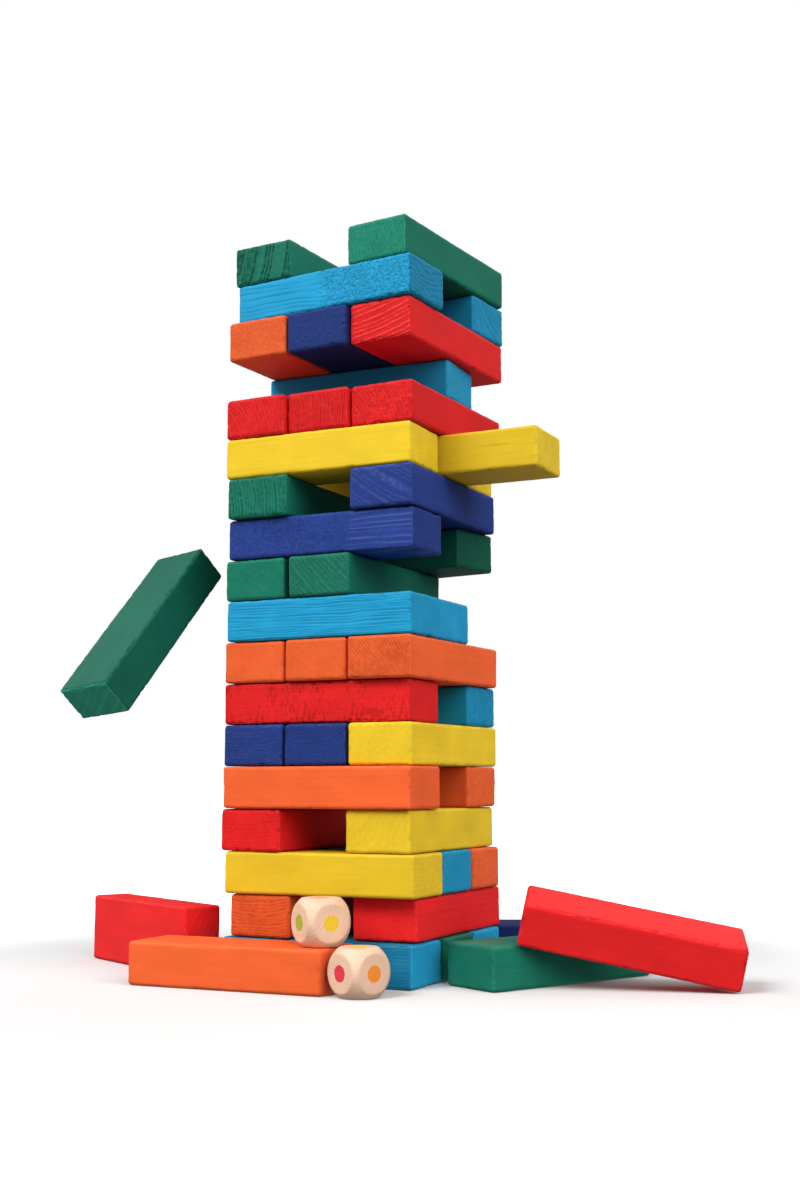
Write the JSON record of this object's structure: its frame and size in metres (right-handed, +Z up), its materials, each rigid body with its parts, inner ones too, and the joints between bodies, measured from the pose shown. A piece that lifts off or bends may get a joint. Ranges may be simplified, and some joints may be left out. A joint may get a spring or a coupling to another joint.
{
  "type": "tumbling tower",
  "caption": "Table-top stacking tower of painted wooden blocks in mid game, with vacant places, a half-drawn block, loose blocks and two colour dice.",
  "frame": {"origin": "on the table, under the middle of the tower, in the face that the bottom layer's middle block rests on", "axes": "+Z up through the tower, +X to the right along its front, +Y away from the player"},
  "size_m": [0.2599, 0.1721, 0.2699],
  "materials": {
    "red_paint": "satin paint on sanded wood",
    "orange_paint": "satin paint on sanded wood",
    "yellow_paint": "satin paint on sanded wood",
    "green_paint": "satin paint on sanded wood",
    "light_blue_paint": "satin paint on sanded wood",
    "dark_blue_paint": "satin paint on sanded wood",
    "natural_wood": "bare sanded wood"
  },
  "bodies": {
    "layer_01_front_light_blue": {"layer_01_front_light_blue": "light_blue_paint"},
    "layer_01_middle_green": {"layer_01_middle_green": "green_paint"},
    "layer_01_back_light_blue": {"layer_01_back_light_blue": "light_blue_paint"},
    "layer_02_left_orange": {"layer_02_left_orange": "orange_paint"},
    "layer_02_right_red": {"layer_02_right_red": "red_paint"},
    "layer_03_front_yellow": {"layer_03_front_yellow": "yellow_paint"},
    "layer_03_middle_light_blue": {"layer_03_middle_light_blue": "light_blue_paint"},
    "layer_03_back_orange": {"layer_03_back_orange": "orange_paint"},
    "layer_04_left_red": {"layer_04_left_red": "red_paint"},
    "layer_04_right_yellow": {"layer_04_right_yellow": "yellow_paint"},
    "layer_05_front_orange": {"layer_05_front_orange": "orange_paint"},
    "layer_05_back_orange": {"layer_05_back_orange": "orange_paint"},
    "layer_06_left_dark_blue": {"layer_06_left_dark_blue": "dark_blue_paint"},
    "layer_06_middle_dark_blue": {"layer_06_middle_dark_blue": "dark_blue_paint"},
    "layer_06_right_yellow": {"layer_06_right_yellow": "yellow_paint"},
    "layer_07_front_red": {"layer_07_front_red": "red_paint"},
    "layer_07_back_light_blue": {"layer_07_back_light_blue": "light_blue_paint"},
    "layer_08_left_orange": {"layer_08_left_orange": "orange_paint"},
    "layer_08_middle_orange": {"layer_08_middle_orange": "orange_paint"},
    "layer_08_right_orange": {"layer_08_right_orange": "orange_paint"},
    "layer_09_front_light_blue": {"layer_09_front_light_blue": "light_blue_paint"},
    "layer_09_middle_light_blue": {"layer_09_middle_light_blue": "light_blue_paint"},
    "layer_10_left_green": {"layer_10_left_green": "green_paint"},
    "layer_10_middle_green": {"layer_10_middle_green": "green_paint"},
    "layer_11_front_dark_blue": {"layer_11_front_dark_blue": "dark_blue_paint"},
    "layer_11_back_green": {"layer_11_back_green": "green_paint"},
    "layer_12_left_green": {"layer_12_left_green": "green_paint"},
    "layer_12_right_dark_blue": {"layer_12_right_dark_blue": "dark_blue_paint"},
    "layer_13_front_yellow": {"layer_13_front_yellow": "yellow_paint"},
    "layer_13_middle_yellow": {"layer_13_middle_yellow": "yellow_paint"},
    "layer_13_back_yellow": {"layer_13_back_yellow": "yellow_paint"},
    "layer_14_left_red": {"layer_14_left_red": "red_paint"},
    "layer_14_middle_red": {"layer_14_middle_red": "red_paint"},
    "layer_14_right_red": {"layer_14_right_red": "red_paint"},
    "layer_15_middle_light_blue": {"layer_15_middle_light_blue": "light_blue_paint"},
    "layer_16_left_orange": {"layer_16_left_orange": "orange_paint"},
    "layer_16_middle_dark_blue": {"layer_16_middle_dark_blue": "dark_blue_paint"},
    "layer_16_right_red": {"layer_16_right_red": "red_paint"},
    "layer_17_front_light_blue": {"layer_17_front_light_blue": "light_blue_paint"},
    "layer_17_back_light_blue": {"layer_17_back_light_blue": "light_blue_paint"},
    "layer_18_left_green": {"layer_18_left_green": "green_paint"},
    "layer_18_right_green": {"layer_18_right_green": "green_paint"},
    "loose_front_orange": {"loose_front_orange": "orange_paint"},
    "loose_right_green": {"loose_right_green": "green_paint"},
    "loose_back_dark_blue": {"loose_back_dark_blue": "dark_blue_paint"},
    "loose_left_red": {"loose_left_red": "red_paint"},
    "loose_leaning_red": {"loose_leaning_red": "red_paint"},
    "falling_green": {"falling_green": "green_paint"},
    "die_on_block": {"die_on_block": "natural_wood"},
    "die_on_table": {"die_on_table": "natural_wood"}
  },
  "joints": [
    {"name": "layer_01_front_light_blue_slide", "type": "slide", "parent": "layer_01_middle_green", "child": "layer_01_front_light_blue", "axis": [0.9998, 0.0175, 0], "range_m": [-0.004, 0.003]},
    {"name": "layer_01_back_light_blue_slide", "type": "slide", "parent": "layer_01_middle_green", "child": "layer_01_back_light_blue", "axis": [0.9999, 0.014, 0], "range_m": [-0.08, 0.015]},
    {"name": "layer_02_left_orange_slide", "type": "slide", "parent": "layer_01_middle_green", "child": "layer_02_left_orange", "axis": [0.014, 0.9999, 0], "range_m": [-0.08, 0.08]},
    {"name": "layer_02_right_red_slide", "type": "slide", "parent": "layer_01_middle_green", "child": "layer_02_right_red", "axis": [-0.014, 0.9999, 0], "range_m": [-0.006, 0.08]},
    {"name": "layer_03_front_yellow_slide", "type": "slide", "parent": "layer_01_middle_green", "child": "layer_03_front_yellow", "axis": [0.9999, 0.014, 0], "range_m": [-0.004, 0.02]},
    {"name": "layer_03_middle_light_blue_slide", "type": "slide", "parent": "layer_01_middle_green", "child": "layer_03_middle_light_blue", "axis": [0.9999, 0.014, 0], "range_m": [-0.08, 0.02]},
    {"name": "layer_03_back_orange_slide", "type": "slide", "parent": "layer_01_middle_green", "child": "layer_03_back_orange", "axis": [0.9999, 0.0105, 0], "range_m": [-0.08, 0.02]},
    {"name": "layer_04_left_red_slide", "type": "slide", "parent": "layer_01_middle_green", "child": "layer_04_left_red", "axis": [0.0087, 1, 0], "range_m": [-0.08, 0.08]},
    {"name": "layer_04_right_yellow_slide", "type": "slide", "parent": "layer_01_middle_green", "child": "layer_04_right_yellow", "axis": [-0.0192, 0.9998, 0], "range_m": [-0.08, 0.08]},
    {"name": "layer_05_front_orange_slide", "type": "slide", "parent": "layer_01_middle_green", "child": "layer_05_front_orange", "axis": [1, 0.007, 0], "range_m": [-0.004, 0.08]},
    {"name": "layer_05_back_orange_slide", "type": "slide", "parent": "layer_01_middle_green", "child": "layer_05_back_orange", "axis": [0.9998, -0.0209, 0], "range_m": [-0.08, 0.08]},
    {"name": "layer_06_left_dark_blue_slide", "type": "slide", "parent": "layer_01_middle_green", "child": "layer_06_left_dark_blue", "axis": [0.0052, 1, 0], "range_m": [-0.08, 0.08]},
    {"name": "layer_06_middle_dark_blue_slide", "type": "slide", "parent": "layer_01_middle_green", "child": "layer_06_middle_dark_blue", "axis": [0, 1, 0], "range_m": [-0.08, 0.08]},
    {"name": "layer_06_right_yellow_slide", "type": "slide", "parent": "layer_01_middle_green", "child": "layer_06_right_yellow", "axis": [-0.0052, 1, 0], "range_m": [-0.08, 0.08]},
    {"name": "layer_07_front_red_slide", "type": "slide", "parent": "layer_01_middle_green", "child": "layer_07_front_red", "axis": [1, 0.0087, 0], "range_m": [-0.004, 0.08]},
    {"name": "layer_07_back_light_blue_slide", "type": "slide", "parent": "layer_01_middle_green", "child": "layer_07_back_light_blue", "axis": [1, 0, 0], "range_m": [-0.08, 0.08]},
    {"name": "layer_08_left_orange_slide", "type": "slide", "parent": "layer_01_middle_green", "child": "layer_08_left_orange", "axis": [-0.0087, 1, 0], "range_m": [-0.08, 0.08]},
    {"name": "layer_08_middle_orange_slide", "type": "slide", "parent": "layer_01_middle_green", "child": "layer_08_middle_orange", "axis": [0, 1, 0], "range_m": [-0.08, 0.08]},
    {"name": "layer_08_right_orange_slide", "type": "slide", "parent": "layer_01_middle_green", "child": "layer_08_right_orange", "axis": [0.0087, 1, 0], "range_m": [-0.08, 0.08]},
    {"name": "layer_09_front_light_blue_slide", "type": "slide", "parent": "layer_01_middle_green", "child": "layer_09_front_light_blue", "axis": [1, 0.0052, 0], "range_m": [-0.004, 0.08]},
    {"name": "layer_09_middle_light_blue_slide", "type": "slide", "parent": "layer_01_middle_green", "child": "layer_09_middle_light_blue", "axis": [1, 0.007, 0], "range_m": [-0.08, 0.08]},
    {"name": "layer_10_left_green_slide", "type": "slide", "parent": "layer_01_middle_green", "child": "layer_10_left_green", "axis": [0.0087, 1, 0], "range_m": [-0.08, 0.08]},
    {"name": "layer_10_middle_green_slide", "type": "slide", "parent": "layer_01_middle_green", "child": "layer_10_middle_green", "axis": [0.0035, 1, 0], "range_m": [-0.08, 0.08]},
    {"name": "layer_11_front_dark_blue_slide", "type": "slide", "parent": "layer_01_middle_green", "child": "layer_11_front_dark_blue", "axis": [0.9998, 0.0209, 0], "range_m": [-0.004, 0.08]},
    {"name": "layer_11_back_green_slide", "type": "slide", "parent": "layer_01_middle_green", "child": "layer_11_back_green", "axis": [0.9903, -0.1392, 0], "range_m": [-0.08, 0.08]},
    {"name": "layer_12_left_green_slide", "type": "slide", "parent": "layer_01_middle_green", "child": "layer_12_left_green", "axis": [-0.0052, 1, 0], "range_m": [-0.08, 0.08]},
    {"name": "layer_12_right_dark_blue_slide", "type": "slide", "parent": "layer_01_middle_green", "child": "layer_12_right_dark_blue", "axis": [-0.0105, 0.9999, 0], "range_m": [-0.08, 0.08]},
    {"name": "layer_13_front_yellow_slide", "type": "slide", "parent": "layer_01_middle_green", "child": "layer_13_front_yellow", "axis": [0.9996, 0.0297, 0], "range_m": [-0.004, 0.08]},
    {"name": "layer_13_middle_yellow_slide", "type": "slide", "parent": "layer_01_middle_green", "child": "layer_13_middle_yellow", "axis": [0.9998, 0.0175, 0], "range_m": [-0.035, 0.045]},
    {"name": "layer_13_back_yellow_slide", "type": "slide", "parent": "layer_01_middle_green", "child": "layer_13_back_yellow", "axis": [0.9999, 0.014, 0], "range_m": [-0.08, 0.08]},
    {"name": "layer_14_left_red_slide", "type": "slide", "parent": "layer_01_middle_green", "child": "layer_14_left_red", "axis": [0.0157, 0.9999, 0], "range_m": [-0.08, 0.08]},
    {"name": "layer_14_middle_red_slide", "type": "slide", "parent": "layer_01_middle_green", "child": "layer_14_middle_red", "axis": [0.0209, 0.9998, 0], "range_m": [-0.08, 0.08]},
    {"name": "layer_14_right_red_slide", "type": "slide", "parent": "layer_01_middle_green", "child": "layer_14_right_red", "axis": [0.0262, 0.9997, 0], "range_m": [-0.08, 0.08]},
    {"name": "layer_15_middle_light_blue_slide", "type": "slide", "parent": "layer_01_middle_green", "child": "layer_15_middle_light_blue", "axis": [0.9989, 0.0471, 0], "range_m": [-0.08, 0.08]},
    {"name": "layer_16_left_orange_slide", "type": "slide", "parent": "layer_01_middle_green", "child": "layer_16_left_orange", "axis": [0.0384, 0.9993, 0], "range_m": [-0.08, 0.08]},
    {"name": "layer_16_middle_dark_blue_slide", "type": "slide", "parent": "layer_01_middle_green", "child": "layer_16_middle_dark_blue", "axis": [0.0436, 0.999, 0], "range_m": [-0.08, 0.08]},
    {"name": "layer_16_right_red_slide", "type": "slide", "parent": "layer_01_middle_green", "child": "layer_16_right_red", "axis": [0.0489, 0.9988, 0], "range_m": [-0.08, 0.08]},
    {"name": "layer_17_front_light_blue_slide", "type": "slide", "parent": "layer_01_middle_green", "child": "layer_17_front_light_blue", "axis": [0.9974, -0.0715, 0], "range_m": [-0.004, 0.08]},
    {"name": "layer_17_back_light_blue_slide", "type": "slide", "parent": "layer_01_middle_green", "child": "layer_17_back_light_blue", "axis": [0.9974, -0.0715, 0], "range_m": [-0.08, 0.08]},
    {"name": "layer_18_left_green_slide", "type": "slide", "parent": "layer_01_middle_green", "child": "layer_18_left_green", "axis": [0.0489, 0.9988, 0], "range_m": [-0.08, 0.08]},
    {"name": "layer_18_right_green_slide", "type": "slide", "parent": "layer_01_middle_green", "child": "layer_18_right_green", "axis": [0.0819, 0.9966, 0], "range_m": [-0.08, 0.08]},
    {"name": "loose_front_orange_move", "type": "slide", "parent": "layer_01_middle_green", "child": "loose_front_orange", "axis": [0, -1, 0], "range_m": [0, 0.06]},
    {"name": "loose_right_green_move", "type": "slide", "parent": "layer_01_middle_green", "child": "loose_right_green", "axis": [1, 0, 0], "range_m": [0, 0.06]},
    {"name": "loose_back_dark_blue_move", "type": "slide", "parent": "layer_01_middle_green", "child": "loose_back_dark_blue", "axis": [0.891, 0.454, 0], "range_m": [0, 0.06]},
    {"name": "loose_left_red_move", "type": "slide", "parent": "layer_01_middle_green", "child": "loose_left_red", "axis": [-0.8949, 0.4462, 0], "range_m": [0, 0.06]},
    {"name": "loose_leaning_red_move", "type": "slide", "parent": "loose_right_green", "child": "loose_leaning_red", "axis": [0, 0, 1], "range_m": [0, 0.03]},
    {"name": "falling_green_fall", "type": "slide", "parent": "layer_01_middle_green", "child": "falling_green", "axis": [0, 0, 1], "range_m": [-0.065, 0.12]},
    {"name": "die_on_block_move", "type": "slide", "parent": "loose_front_orange", "child": "die_on_block", "axis": [0, 0, 1], "range_m": [0, 0.06]},
    {"name": "die_on_table_move", "type": "slide", "parent": "layer_01_middle_green", "child": "die_on_table", "axis": [0, -1, 0], "range_m": [0, 0.06]}
  ]
}
